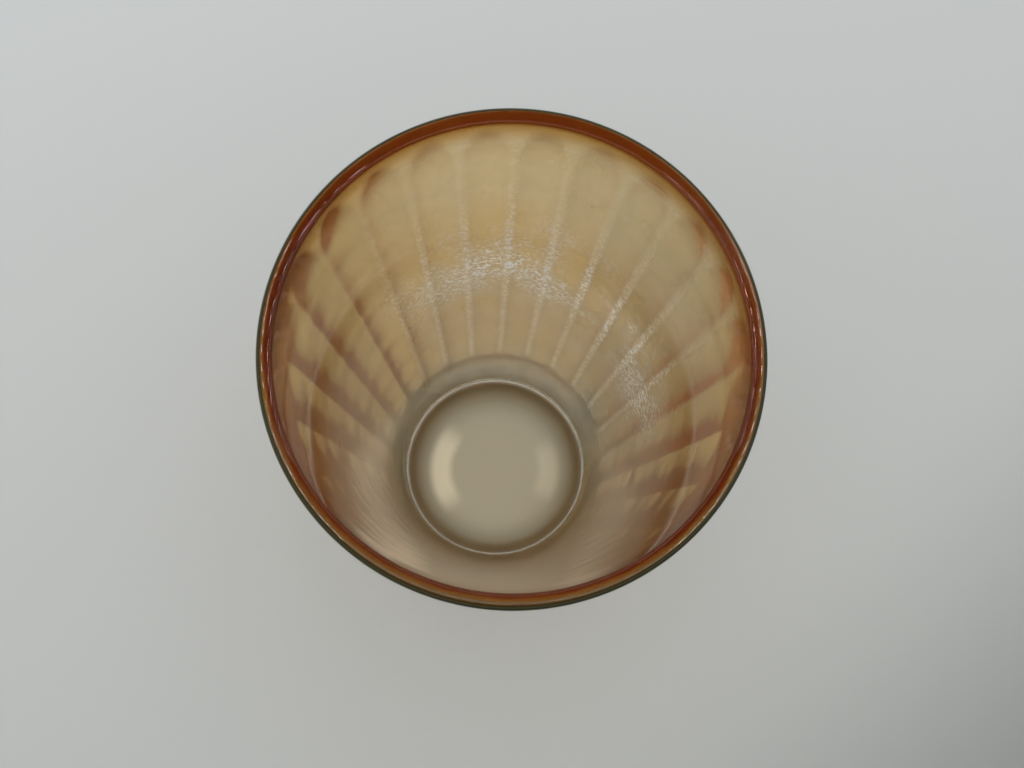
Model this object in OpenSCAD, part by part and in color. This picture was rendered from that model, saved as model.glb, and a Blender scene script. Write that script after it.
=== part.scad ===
// Tall drinking glass of pressed glass: smooth round lip, tapering convex reeds with arched tops, plain heel
// and hollow foot, with a fired lustre skin on its outside. Millimetres. The table top is z = 0, +Z runs up
// the axis of the glass, and a groove between two reeds lies on +X.

/* [Bowl] */
// Outside diameter at the lip, over the lustre
rim_diameter = 76.2; // [68:0.1:88]
// Height from the table to the top of the lip
overall_height = 148; // [120:1:175]
// Thickness of the round lip, and of the smooth band below it
lip_thickness = 2.45; // [2.2:0.05:3]
// Diameter of the plain outer wall line, carried down to the table
foot_diameter = 49; // [47:0.5:54]
// Glass between the bowl and the plain outer wall line, at the level of the floor
floor_wall = 4.54; // [4:0.1:6]
// Glass under the bowl, from the table to the floor
floor_thickness = 8; // [6:0.5:11]
// Radius between the floor and the inner wall
floor_corner = 3; // [2:0.25:5]

/* [Reeds] */
// Number of convex reeds round the wall
reed_count = 24; // [18:1:30]
// Height of the reed crests above the plain wall
reed_rise = 0.26; // [0.2:0.02:0.4]
// Width of the flat groove between two reeds, at the lip's diameter
groove_width = 0.7; // [0.4:0.05:1.2]
// Smooth band from the lip's widest level down to the arched tops
smooth_band = 4.2; // [3:0.2:8]
// Length over which a crest rises from the smooth band to its full height
reed_shoulder = 11; // [8:0.5:16]

/* [Heel] */
// Height of the plain heel below the reeds
heel_height = 27; // [18:1:36]
// How far the heel stands out from the reed crests
heel_rise = 0.3; // [0.2:0.05:0.6]
// Length of the slope between the heel and the grooves
heel_slope = 5; // [3:0.5:8]

/* [Foot] */
// Radius round the outer edge of the foot
foot_edge = 1.4; // [0.8:0.1:2]
// Width of the flat ring that the glass stands on
foot_ring = 2.4; // [1.6:0.1:4]
// Depth of the domed hollow under the glass
foot_hollow = 1.8; // [1:0.1:3]

/* [Lustre] */
// Thickness of the lustre skin, far more than the real film so that it can be held as a solid
lustre_thickness = 0.1; // [0.08:0.01:0.2]
// Bare glass between the table and the lower edge of the lustre
lustre_start = 5; // [3:0.5:9]
// How far the lustre climbs over the lip, as an angle above its widest level
lustre_climb = 60; // [45:5:75]
// Half of the length over which each edge of the lustre thins out to nothing
lustre_feather = 0.6; // [0.3:0.05:0.7]

/* [Hidden] */

// Steps in each round stretch of an outline
arc_steps = 8;
// Steps round the lip
lip_steps = 16;
// Steps in the bend of a reed's crest
bend_steps = 4;
// Steps round a whole turn
$fn = 120;
// Overrun of every cut past the face that it opens, and of every reed past the wall that it sinks into
overrun = 2;
// Angle by which neighbouring slices of the lustre overlap, so that they make one skin
lustre_lap = 0.35;
// Colours
glass_colour = [0.86, 0.85, 0.78, 0.5];
lustre_colour = [0.72, 0.45, 0.2, 0.6];

// Lip
lip_radius = lip_thickness / 2;
lip_centre = rim_diameter / 2 - lustre_thickness - lip_radius;
lip_level = overall_height - lip_radius;

// Outer wall line, tangent to the lip
foot_radius = foot_diameter / 2;
wall_angle = atan((lip_centre + lip_radius - foot_radius) / lip_level);

// Bowl: its wall line is tangent to the lip too
floor_radius = wall_line(0, floor_thickness) - floor_wall;
inner_angle = atan((lip_centre - lip_radius - floor_radius) / (lip_level - floor_thickness));
corner_centre = floor_radius - floor_corner * tan(45 - inner_angle / 2);

// Reeds
half_pitch = 180 / reed_count;
groove_share = groove_width / (PI * rim_diameter / reed_count);
reed_half_angle = half_pitch * (1 - groove_share);
reed_low = heel_height / 2;
reed_high = lip_level - smooth_band - reed_shoulder;
round_low = reed_round(wall_line(0, reed_low));
round_high = reed_round(wall_line(0, reed_high));
reed_length = (reed_high - reed_low) / cos(wall_angle);
reed_spread = asin((round_high - round_low) / reed_length);
shoulder_radius = (reed_shoulder * reed_shoulder + reed_rise * reed_rise) / (2 * reed_rise);
shoulder_turn = asin((reed_shoulder + overrun) / shoulder_radius);

// Heel and foot
heel_stand = reed_rise + heel_rise;
heel_top = heel_height - heel_slope;
edge_centre = wall_line(heel_stand, foot_edge) - foot_edge;
hollow_radius = edge_centre - foot_ring;
dome_radius = (hollow_radius * hollow_radius + foot_hollow * foot_hollow) / (2 * foot_hollow);
dome_half_angle = asin(hollow_radius / dome_radius);

// Radius at a height of a line that stands off the plain outer wall
function wall_line(stand, height) = foot_radius + stand / cos(wall_angle) + height * tan(wall_angle);

// Section radius of a reed that stands on a round wall and meets it at the edge of its groove
function reed_round(wall) =
    let (half_width = wall * sin(reed_half_angle), drop = wall + reed_rise - wall * cos(reed_half_angle))
    (half_width * half_width + drop * drop) / (2 * drop);

// Points of an arc about a centre, from one angle to another
function arc(centre, radius, first, last, steps = arc_steps) = [
    for (i = [0 : steps])
        let (angle = first + (last - first) * i / steps)
        [centre[0] + radius * cos(angle), centre[1] + radius * sin(angle)]
];

// Outline of the heel and the wall above it, from below upwards; skin is added all over
function wall_points(skin) = [
    [wall_line(heel_stand + skin, heel_top), heel_top],
    [wall_line(skin, heel_height), heel_height]
];

// Whole outside without reeds, as a solid of revolution
module plain_outside() {
    inner_point = arc([lip_centre, lip_level], lip_radius, 180 - inner_angle, 180 - inner_angle)[0];
    rotate_extrude()
        polygon(concat(
            [[0, 0], [edge_centre, 0]],
            arc([edge_centre, foot_edge], foot_edge, -90, 0),
            wall_points(0),
            arc([lip_centre, lip_level], lip_radius, -wall_angle, 180 - inner_angle, lip_steps),
            [[0, inner_point[1]]]
        ));
}

// One reed along +X: a slender cone whose crest bends into the smooth band, so that its top is an arch
module reed(skin) {
    bend_x = round_high - shoulder_radius * cos(reed_spread);
    bend_z = reed_length * cos(reed_spread) + shoulder_radius * sin(reed_spread);
    first = -reed_spread;
    bend = arc([bend_x, bend_z], shoulder_radius + skin, first, first + shoulder_turn, bend_steps);
    translate([wall_line(reed_rise, reed_low), 0, reed_low])
        rotate([0, wall_angle - reed_spread, 0])
            translate([-round_low, 0, 0])
                rotate_extrude()
                    polygon(concat(
                        [[0, 0], [round_low + skin / cos(reed_spread), 0]],
                        bend,
                        [[0, bend[bend_steps][1]]]
                    ));
}

// Wedge of one pitch, from near the axis to well outside; a lap makes it wider on both sides
module sector(lap = 0) {
    near = floor_radius - floor_corner;
    far = rim_diameter;
    linear_extrude(height = overall_height)
        polygon([
            [near, -near * tan(half_pitch + lap)], [far, -far * tan(half_pitch + lap)],
            [far, far * tan(half_pitch + lap)], [near, near * tan(half_pitch + lap)]
        ]);
}

// Ring of raised reeds, one in each pitch
module reeds() {
    for (i = [0 : reed_count - 1])
        rotate([0, 0, (2 * i + 1) * half_pitch])
            intersection() {
                reed(0);
                sector();
            }
}

// Outside of the glass, reeds and all
module outside() {
    plain_outside();
    reeds();
}

// Space inside the bowl, open at the top
module bowl() {
    mouth = arc([lip_centre, lip_level], lip_radius, 180 - inner_angle, 180 - inner_angle)[0];
    rotate_extrude()
        polygon(concat(
            [[0, floor_thickness]],
            arc([corner_centre, floor_thickness + floor_corner], floor_corner, -90, -inner_angle),
            [mouth, [mouth[0], overall_height + overrun], [0, overall_height + overrun]]
        ));
}

// Domed hollow under the foot
module hollow() {
    rotate_extrude()
        polygon(concat(
            [[0, -overrun], [hollow_radius, -overrun]],
            arc([0, foot_hollow - dome_radius], dome_radius, 90 - dome_half_angle, 90)
        ));
}

// Pressed glass body
module glass_body() {
    color(glass_colour)
        difference() {
            outside();
            bowl();
            hollow();
        }
}

// Blank of the lustre skin without reeds: a thick band up and over the lip.
// The glass itself is cut from it later.
// Both of its edges slant into the glass, so that the skin thins out there.
module lustre_blank() {
    bed = floor_radius - floor_corner;
    low = lustre_start - lustre_feather;
    full = lustre_start + lustre_feather;
    feather_turn = lustre_feather / lip_radius * 180 / PI;
    sunk = lip_radius - lustre_thickness;
    last = lustre_climb + feather_turn;
    rotate_extrude()
        polygon(concat(
            [
                [bed, low],
                [wall_line(heel_stand - lustre_thickness, low), low],
                [wall_line(heel_stand + lustre_thickness, full), full]
            ],
            wall_points(lustre_thickness),
            arc(
                [lip_centre, lip_level],
                lip_radius + lustre_thickness,
                -wall_angle,
                lustre_climb - feather_turn
            ),
            [
                [lip_centre + sunk * cos(last), lip_level + sunk * sin(last)],
                [lip_centre, lip_level],
                [bed, lip_level - floor_radius]
            ]
        ));
}

// Lustre skin over one reed and half of the groove on each side of it
module coat_slice() {
    difference() {
        intersection() {
            union() {
                lustre_blank();
                reed(lustre_thickness);
            }
            sector(lustre_lap);
        }
        plain_outside();
        reed(0);
    }
}

// Lustre skin fired onto the outside of the glass
module lustre_coat() {
    color(lustre_colour)
        for (i = [0 : reed_count - 1])
            rotate([0, 0, (2 * i + 1) * half_pitch])
                coat_slice();
}

glass_body();
lustre_coat();
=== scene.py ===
"""Looks of a tall reeded drinking glass with a fired lustre skin, around its solids.

Two pieces: the pressed glass body and the thin lustre skin on its outside. Both are revolved outlines
whose outer wall follows one rule, a ring of tapering convex reeds with arched tops, so one geometry node
tree makes them both. Sizes are in millimetres here and become metres in the meshes. +Z runs up the axis of
the glass, z = 0 is the table top, and a groove between two reeds lies on +X.
"""

import logging
import math
from dataclasses import dataclass, field
from enum import Enum
from typing import Any, Iterable, Sequence

import bmesh
import bpy
from mathutils import Matrix, Vector


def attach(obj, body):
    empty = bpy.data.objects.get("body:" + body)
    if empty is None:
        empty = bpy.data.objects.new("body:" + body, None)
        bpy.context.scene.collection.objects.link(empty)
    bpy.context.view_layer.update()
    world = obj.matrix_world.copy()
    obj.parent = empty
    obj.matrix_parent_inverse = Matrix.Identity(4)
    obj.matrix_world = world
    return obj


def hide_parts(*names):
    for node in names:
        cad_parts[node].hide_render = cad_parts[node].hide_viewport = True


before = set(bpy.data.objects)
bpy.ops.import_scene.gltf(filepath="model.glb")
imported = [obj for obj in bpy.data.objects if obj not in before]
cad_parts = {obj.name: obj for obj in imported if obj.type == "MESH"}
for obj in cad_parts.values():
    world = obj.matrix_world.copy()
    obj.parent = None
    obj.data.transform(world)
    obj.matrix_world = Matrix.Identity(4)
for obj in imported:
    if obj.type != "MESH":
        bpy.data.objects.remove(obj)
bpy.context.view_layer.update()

MM = 0.001
IMAGE_WIDTH = 1024
BODY = "root"
# Turn of the photograph's view about the axis of the glass, in degrees
VIEW_TURN = 1.4
# Step that keeps a column on the axis of a groove from rounding to the pitch before it
NUDGE = 1e-5
# Least value of the lustred mark on a face between two lustred rows
LUSTRED = 0.999
log = logging.getLogger("tumbler")

Colour = tuple[float, float, float]
Span = tuple[float, float]
Socket = Any


# Sizes


@dataclass(frozen=True)
class TumblerSizes:
    """Sizes of the glass in millimetres, the same as its solids have."""

    rim_diameter: float = 76.2
    overall_height: float = 148.0
    lip_thickness: float = 2.45
    foot_diameter: float = 49.0
    floor_wall: float = 4.54
    floor_thickness: float = 8.0
    floor_corner: float = 3.0
    reed_count: int = 24
    reed_rise: float = 0.26
    groove_width: float = 0.7
    smooth_band: float = 4.2
    reed_shoulder: float = 11.0
    heel_height: float = 27.0
    heel_rise: float = 0.3
    heel_slope: float = 5.0
    foot_edge: float = 1.4
    foot_ring: float = 2.4
    foot_hollow: float = 1.8
    lustre_thickness: float = 0.1
    lustre_start: float = 5.0
    lustre_climb: float = 60.0

    @property
    def lip_radius(self) -> float:
        """Radius of the round lip's section."""
        return self.lip_thickness / 2

    @property
    def lip_centre(self) -> float:
        """Distance from the axis to the middle of the lip's section."""
        return self.rim_diameter / 2 - self.lustre_thickness - self.lip_radius

    @property
    def lip_level(self) -> float:
        """Height of the middle of the lip's section."""
        return self.overall_height - self.lip_radius

    @property
    def wall_slope(self) -> float:
        """Growth of the plain outer radius for each millimetre of height."""
        return (self.lip_centre + self.lip_radius - self.foot_diameter / 2) / self.lip_level

    @property
    def wall_angle(self) -> float:
        """Lean of the plain outer wall, in radians."""
        return math.atan(self.wall_slope)

    @property
    def floor_radius(self) -> float:
        """Radius of the bowl's wall line at the level of the floor."""
        return self.wall_line(0, self.floor_thickness) - self.floor_wall

    @property
    def inner_angle(self) -> float:
        """Lean of the bowl's wall, in radians."""
        rise = self.lip_level - self.floor_thickness
        return math.atan((self.lip_centre - self.lip_radius - self.floor_radius) / rise)

    @property
    def pitch(self) -> float:
        """Angle from one groove to the next, in radians."""
        return 2 * math.pi / self.reed_count

    @property
    def reed_low(self) -> float:
        """Height at which a reed starts, inside the heel."""
        return self.heel_height / 2

    @property
    def reed_high(self) -> float:
        """Height at which a crest begins to bend towards the smooth band."""
        return self.lip_level - self.smooth_band - self.reed_shoulder

    @property
    def heel_stand(self) -> float:
        """How far the heel stands off the plain wall."""
        return self.reed_rise + self.heel_rise

    def wall_line(self, stand: float, height: float) -> float:
        """Radius at a height of a line that stands off the plain outer wall.

        Args:
            stand: distance of the line from the plain wall, square to it.
            height: height above the table.

        Returns:
            The radius in millimetres.
        """
        return self.foot_diameter / 2 + stand / math.cos(self.wall_angle) + height * self.wall_slope

    def reed_round(self, height: float) -> float:
        """Section radius of a reed that meets the wall at the edge of its groove.

        Args:
            height: height above the table.

        Returns:
            The radius of the reed's section in millimetres.
        """
        wall = self.wall_line(0, height)
        share = self.groove_width / (math.pi * self.rim_diameter / self.reed_count)
        half = self.pitch / 2 * (1 - share)
        drop = wall + self.reed_rise - wall * math.cos(half)
        width = wall * math.sin(half)
        return (width * width + drop * drop) / (2 * drop)


@dataclass(frozen=True)
class OutlineRow:
    """One point of an outline that is swept round the axis."""

    radius: float
    height: float
    skin: float = 0.0
    reeded: bool = False
    lustred: bool = False


def arc_points(centre: tuple[float, float], radius: float, first: float, last: float,
               steps: int) -> list[tuple[float, float]]:
    """Points of an arc in the outline's plane.

    Args:
        centre: radius and height of the arc's centre.
        radius: radius of the arc.
        first: angle of its first point in radians, from outwards towards up.
        last: angle of its last point.
        steps: number of steps between them.

    Returns:
        The points in order, both ends included.
    """
    turns = (first + (last - first) * i / steps for i in range(steps + 1))
    return [(centre[0] + radius * math.cos(a), centre[1] + radius * math.sin(a)) for a in turns]


def graded(first: float, last: float, steps: int, growth: float) -> list[float]:
    """Values from first to last whose spacing grows evenly from step to step.

    Args:
        first: first value.
        last: last value.
        steps: number of steps.
        growth: ratio of the last step to the first one.

    Returns:
        The values in order, both ends included.
    """
    ratio = growth ** (1 / (steps - 1))
    sizes = [ratio ** i for i in range(steps)]
    total, reached, values = sum(sizes), 0.0, [first]
    for size in sizes:
        reached += size
        values.append(first + (last - first) * reached / total)
    return values


@dataclass(frozen=True)
class WallOutline:
    """Rows of the reeded wall, closest where the crests bend, and of the heel below it."""

    rows: int
    growth: float = 5.0
    slope_steps: int = 6
    heel_levels: tuple[float, ...] = (17.0, 12.0, 8.0)

    def trace(self, sizes: TumblerSizes, top: float, skin: float = 0.0) -> list[OutlineRow]:
        """Outline of the outer wall, from below the lip down to the lustre's lower edge.

        Args:
            sizes: sizes of the glass.
            top: height at which the lip ends.
            skin: how far this outline stands off the glass.

        Returns:
            The rows in order, without the one at the lip.
        """
        levels = graded(top, sizes.heel_height, self.rows, self.growth)[1:]
        rows = [OutlineRow(sizes.wall_line(skin, z), z, skin, True, True) for z in levels]
        for i in range(1, self.slope_steps + 1):
            z = sizes.heel_height - sizes.heel_slope * i / self.slope_steps
            stand = sizes.heel_stand * (1 - math.cos(math.pi * i / self.slope_steps)) / 2
            rows.append(OutlineRow(sizes.wall_line(stand + skin, z), z, skin, i < self.slope_steps, True))
        rows += [OutlineRow(sizes.wall_line(sizes.heel_stand + skin, z), z, skin, False, True)
                 for z in (*self.heel_levels, sizes.lustre_start)]
        return rows


# Node helpers


class Nodes:
    """Short hand for adding nodes and links to one tree."""

    def __init__(self, tree: bpy.types.NodeTree) -> None:
        """Keeps the tree that nodes are added to."""
        self.tree = tree

    def add(self, kind: str, inputs: dict[str | int, Any] | None = None, **settings: Any) -> bpy.types.Node:
        """Adds a node.

        Args:
            kind: the node's type name.
            inputs: value or socket for each input, by name or number.
            **settings: the node's own options.

        Returns:
            The node.
        """
        node = self.tree.nodes.new(kind)
        for name, value in settings.items():
            setattr(node, name, value)
        for key, value in (inputs or {}).items():
            self.feed(node.inputs[key], value)
        return node

    def feed(self, socket: Socket, value: Any) -> None:
        """Links a socket to an input, or sets the input's own value.

        Args:
            socket: the input.
            value: a socket, or the value to set.
        """
        if isinstance(value, bpy.types.NodeSocket):
            self.tree.links.new(value, socket)
        else:
            socket.default_value = value

    def math(self, operation: str, *values: Any, clamp: bool = False) -> Socket:
        """Adds a maths node.

        Args:
            operation: name of the operation.
            *values: numbers or sockets.
            clamp: whether the result is kept between 0 and 1.

        Returns:
            The socket with the result.
        """
        node = self.add("ShaderNodeMath", dict(enumerate(values)), operation=operation, use_clamp=clamp)
        return node.outputs[0]

    def ramp(self, value: Any, low: float, high: float, to_low: float = 0.0, to_high: float = 1.0,
             smooth: bool = True) -> Socket:
        """Maps one range onto another, held at both ends.

        Args:
            value: socket that is mapped.
            low: value that gives to_low.
            high: value that gives to_high.
            to_low: result at the low end.
            to_high: result at the high end.
            smooth: whether the change eases in and out.

        Returns:
            The socket with the result.
        """
        kind = "SMOOTHSTEP" if smooth else "LINEAR"
        numbers = {"Value": value, "From Min": low, "From Max": high, "To Min": to_low, "To Max": to_high}
        return self.add("ShaderNodeMapRange", numbers, interpolation_type=kind).outputs[0]

    def blend(self, factor: Any, first: Any, second: Any) -> Socket:
        """Mixes two colours.

        Args:
            factor: share of the second colour.
            first: colour or socket at 0.
            second: colour or socket at 1.

        Returns:
            The socket with the mixed colour.
        """
        node = self.add("ShaderNodeMix", data_type="RGBA")
        for key, value in (("Factor", factor), ("A", first), ("B", second)):
            sockets = [s for s in node.inputs if s.name == key and s.enabled]
            value = (*value, 1.0) if isinstance(value, tuple) and len(value) == 3 else value
            self.feed(sockets[0], value)
        return next(s for s in node.outputs if s.enabled)

    def noise(self, vector: Socket, scale: float, detail: float = 2.0, roughness: float = 0.5) -> Socket:
        """Adds a noise texture.

        Args:
            vector: where it is read.
            scale: how fine it is.
            detail: number of finer layers.
            roughness: share of the finer layers.

        Returns:
            The socket with its value, near 0.5 on average.
        """
        numbers = {"Vector": vector, "Scale": scale, "Detail": detail, "Roughness": roughness}
        return self.add("ShaderNodeTexNoise", numbers).outputs[0]

    def times(self, first: Any, *others: Any) -> Socket:
        """Multiplies values from left to right.

        Args:
            first: the first value or socket.
            *others: those it is multiplied by.

        Returns:
            The socket with the product.
        """
        for other in others:
            first = self.math("MULTIPLY", first, other)
        return first

    def level(self, height: Any, span: Span, to_low: float = 0.0, to_high: float = 1.0) -> Socket:
        """Maps a span of lengths in millimetres onto another range, eased at both ends."""
        return self.ramp(height, span[0] * MM, span[1] * MM, to_low, to_high)

    def between(self, factor: Any, at_none: float, at_full: float) -> Socket:
        """Gives the first number where the factor is 0 and the second where it is 1."""
        return self.math("MULTIPLY_ADD", factor, at_full - at_none, at_none)

    def cover(self, share: Any, under: bpy.types.Node, over: bpy.types.Node) -> bpy.types.Node:
        """Mixes two shaders, the second by its share."""
        return self.add("ShaderNodeMixShader", {0: share, 1: under.outputs[0], 2: over.outputs[0]})


def new_material(name: str) -> tuple[bpy.types.Material, Nodes, bpy.types.Node]:
    """Starts an empty node material.

    Args:
        name: name of the material.

    Returns:
        The material, its nodes and its output node.
    """
    material = bpy.data.materials.new(name)
    material.use_nodes = True
    material.node_tree.nodes.clear()
    nodes = Nodes(material.node_tree)
    return material, nodes, nodes.add("ShaderNodeOutputMaterial")


# Finishes


class WearAndSheen(Enum):
    """How patchy the lustre is, which sets where a painted silvery reflection shows on the far side."""

    EVEN = 0.0
    PATCHY = 1.0


@dataclass(frozen=True)
class ClearGlass:
    """Fire-polished soda-lime glass of the lip's inside, the bowl and the base."""

    name: str = "clear_soda_lime_glass"
    tint: Colour = (0.99, 0.985, 0.94)
    tint_loss: float = 0.985
    cloud_scale: float = 60.0
    ior: float = 1.52
    roughness: float = 0.06
    ripple_height: float = 0.03
    ripple_scale: float = 150.0
    lip_rise: Span = (142.0, 145.0)

    def make(self) -> bpy.types.Material:
        """Builds the material: clear, with the slow waviness of pressed glass.

        Returns:
            The material.
        """
        material, nodes, output = new_material(self.name)
        place = nodes.add("ShaderNodeTexCoord").outputs["Object"]
        bump = nodes.add("ShaderNodeBump", {
            "Strength": 1.0, "Distance": self.ripple_height * MM,
            "Height": nodes.noise(place, self.ripple_scale, detail=1.0)})
        tint = nodes.blend(nodes.noise(place, self.cloud_scale), self.tint,
                           tuple(c * self.tint_loss for c in self.tint))
        height = nodes.add("ShaderNodeSeparateXYZ", {"Vector": place}).outputs["Z"]
        glass = nodes.add("ShaderNodeBsdfPrincipled", {
            "Base Color": tint, "Roughness": nodes.level(height, self.lip_rise, self.roughness, 0.0),
            "IOR": self.ior, "Transmission Weight": 1.0, "Normal": bump.outputs[0],
        })
        nodes.feed(output.inputs["Surface"], glass.outputs[0])
        return material


@dataclass(frozen=True)
class WallSpot:
    """Sockets that say where on the wall a point lies, and the patterns there."""

    place: Socket
    x: Socket
    height: Socket
    far: Socket
    near: Socket
    groove: Socket
    cloud: Socket
    speck: Socket


@dataclass(frozen=True)
class StainedGlass:
    """The outer face of the glass where the lustre is fired on, seen through the glass.

    Light that passes the film is stained once. Light that the film turns back has crossed it twice. The far
    and near sides are directions in degrees from +X towards +Y. A rise or a fall is a span of heights in
    millimetres, and a facing or a cloud span is a range of that pattern.
    """

    name: str = "glass_under_lustre"
    ior: float = 1.52
    wear_and_sheen: WearAndSheen = WearAndSheen.PATCHY
    far_side: float = 70.0
    far_facing: Span = (0.1, 0.85)
    near_side: float = -95.0
    near_facing: Span = (-0.3, 0.6)
    cloud_grain: Colour = (60.0, 60.0, 34.0)
    cloud_rough: float = 0.6
    speck_scale: float = 1100.0
    speck_rough: float = 0.65
    speck_span: Span = (0.45, 0.62)
    # Stain
    pale: Colour = (0.72, 0.70, 0.64)
    amber: Colour = (0.95, 0.70, 0.30)
    fade_rise: Span = (8.0, 44.0)
    fade_stray: float = 60.0
    honey: Colour = (0.97, 0.79, 0.44)
    honey_rise: Span = (104.0, 124.0)
    umber: Colour = (0.84, 0.64, 0.36)
    umber_rise: Span = (36.0, 56.0)
    umber_fall: Span = (72.0, 92.0)
    umber_cloud: Span = (0.36, 0.60)
    umber_least: float = 0.35
    burnt: Colour = (0.64, 0.31, 0.03)
    burnt_rise: Span = (138.0, 146.5)
    # Surface
    smooth: float = 0.18
    polished: float = 0.02
    satin: float = 0.25
    wave_height: float = 0.08
    wave_scale: float = 110.0
    wave_far: float = 0.2
    ripple_height: float = 0.012
    ripple_grain: Colour = (90.0, 90.0, 620.0)
    ripple_near: float = 0.3
    # Milk
    milk: Colour = (0.86, 0.75, 0.58)
    milk_share: float = 0.28
    milk_cloud: Span = (0.3, 0.7)
    milk_swing: Span = (0.7, 1.3)
    milk_climb: float = 2.5
    milk_fall: Span = (135.0, 141.0)
    # Milk on the sides, darkened as painted shade
    milk_painted_shade: Colour = (0.62, 0.50, 0.34)
    haze_share: float = 0.15
    # Milk on the near side, coloured orange as painted light tinted by the glass
    milk_painted_light: Colour = (0.80, 0.50, 0.19)
    blush_share: float = 0.14
    frost: Colour = (0.92, 0.84, 0.68)
    frost_share: float = 0.45
    frost_fall: Span = (95.0, 125.0)
    frost_top: float = 0.15
    frost_near: float = 0.2
    frost_bare: float = 0.4
    # Painted silvery reflection in the film's patches, far side only
    painted_silver_sheen: Colour = (0.90, 0.95, 1.0)
    silver_right: float = 1.0
    silver_left: float = 0.35
    silver_across: Span = (-26.0, -2.0)
    silver_tilt: float = 0.5
    silver_rise: Span = (64.0, 86.0)
    silver_fall: Span = (92.0, 118.0)
    silver_cloud: Span = (0.38, 0.58)
    silver_groove: float = 0.8
    silver_through: float = 0.65

    @staticmethod
    def _toward(nodes: Nodes, split: bpy.types.Node, side: float) -> Socket:
        """Tells how much the wall faces one side.

        Args:
            nodes: the material's nodes.
            split: the node that gives x, y and z.
            side: direction of that side in degrees, from +X towards +Y.

        Returns:
            A socket that is 1 in the middle of that side and -1 opposite it.
        """
        flat = nodes.add("ShaderNodeCombineXYZ", {"X": split.outputs["X"], "Y": split.outputs["Y"]})
        unit = nodes.add("ShaderNodeVectorMath", {0: flat.outputs[0]}, operation="NORMALIZE")
        way = (math.cos(math.radians(side)), math.sin(math.radians(side)), 0.0)
        facing = nodes.add("ShaderNodeVectorMath", {0: unit.outputs[0], 1: way}, operation="DOT_PRODUCT")
        return facing.outputs["Value"]

    def _read(self, nodes: Nodes) -> WallSpot:
        """Reads the place on the wall and the patterns there.

        Args:
            nodes: the material's nodes.

        Returns:
            The sockets that the rest of the finish uses.
        """
        place = nodes.add("ShaderNodeTexCoord").outputs["Object"]
        split = nodes.add("ShaderNodeSeparateXYZ", {"Vector": place})
        slow = nodes.add("ShaderNodeMapping", {"Vector": place, "Scale": self.cloud_grain}).outputs[0]
        fine = nodes.noise(place, self.speck_scale, detail=3.0, roughness=self.speck_rough)
        return WallSpot(
            place, split.outputs["X"], split.outputs["Z"],
            far=nodes.ramp(self._toward(nodes, split, self.far_side), *self.far_facing),
            near=nodes.ramp(self._toward(nodes, split, self.near_side), *self.near_facing),
            groove=nodes.add("ShaderNodeAttribute", attribute_name="groove").outputs["Fac"],
            cloud=nodes.noise(slow, 1.0, detail=3.0, roughness=self.cloud_rough),
            speck=nodes.ramp(fine, *self.speck_span))

    def _stain(self, nodes: Nodes, wall: WallSpot) -> Socket:
        """Colours the film: pale near the foot, amber with umber and honey above, burnt under the lip.

        Args:
            nodes: the material's nodes.
            wall: where on the wall the point lies.

        Returns:
            The socket with the colour of light that has crossed the film once.
        """
        stray = nodes.math("SUBTRACT", wall.cloud, 0.5)
        foot_edge = nodes.math("MULTIPLY_ADD", stray, self.fade_stray * MM, wall.height)
        stain = nodes.blend(nodes.level(foot_edge, self.fade_rise), self.pale, self.amber)
        # A paler honey stain high on the far side
        far_upper = nodes.times(wall.far, wall.far, nodes.level(wall.height, self.honey_rise))
        stain = nodes.blend(far_upper, stain, self.honey)
        blotch = nodes.times(nodes.level(wall.height, self.umber_rise),
                             nodes.level(wall.height, self.umber_fall, 1.0, 0.0), wall.far,
                             nodes.ramp(wall.cloud, *self.umber_cloud, self.umber_least, 1.0))
        stain = nodes.blend(blotch, stain, self.umber)
        return nodes.blend(nodes.level(wall.height, self.burnt_rise), stain, self.burnt)

    def _glass(self, nodes: Nodes, wall: WallSpot, once: Socket) -> bpy.types.Node:
        """Makes the glass face: wavy, rough on the far side, and either crossed or turning light back.

        Args:
            nodes: the material's nodes.
            wall: where on the wall the point lies.
            once: colour of light that has crossed the film once.

        Returns:
            The shader.
        """
        twice = nodes.add("ShaderNodeVectorMath", {0: once, 1: once}, operation="MULTIPLY").outputs[0]
        wave = nodes.add("ShaderNodeBump", {
            "Strength": nodes.between(wall.far, 1.0, self.wave_far), "Distance": self.wave_height * MM,
            "Height": nodes.noise(wall.place, self.wave_scale, detail=0.0)}).outputs[0]
        long_way = nodes.add("ShaderNodeMapping", {"Vector": wall.place, "Scale": self.ripple_grain})
        bump = nodes.add("ShaderNodeBump", {
            "Strength": nodes.between(wall.far, self.ripple_near, 1.0), "Distance": self.ripple_height * MM,
            "Height": nodes.noise(long_way.outputs[0], 1.0, detail=3.0, roughness=0.6),
            "Normal": wave}).outputs[0]
        rough = nodes.between(wall.far, self.smooth, self.satin)
        rough = nodes.math("MULTIPLY_ADD", wall.near, self.polished - self.smooth, rough)
        through = nodes.add("ShaderNodeBsdfRefraction", {
            "Color": once, "Roughness": rough, "IOR": self.ior, "Normal": bump})
        back = nodes.add("ShaderNodeBsdfAnisotropic", {"Color": twice, "Roughness": rough, "Normal": bump})
        turned = nodes.add("ShaderNodeFresnel", {"IOR": self.ior, "Normal": bump}).outputs[0]
        return nodes.cover(turned, through, back)

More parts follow.
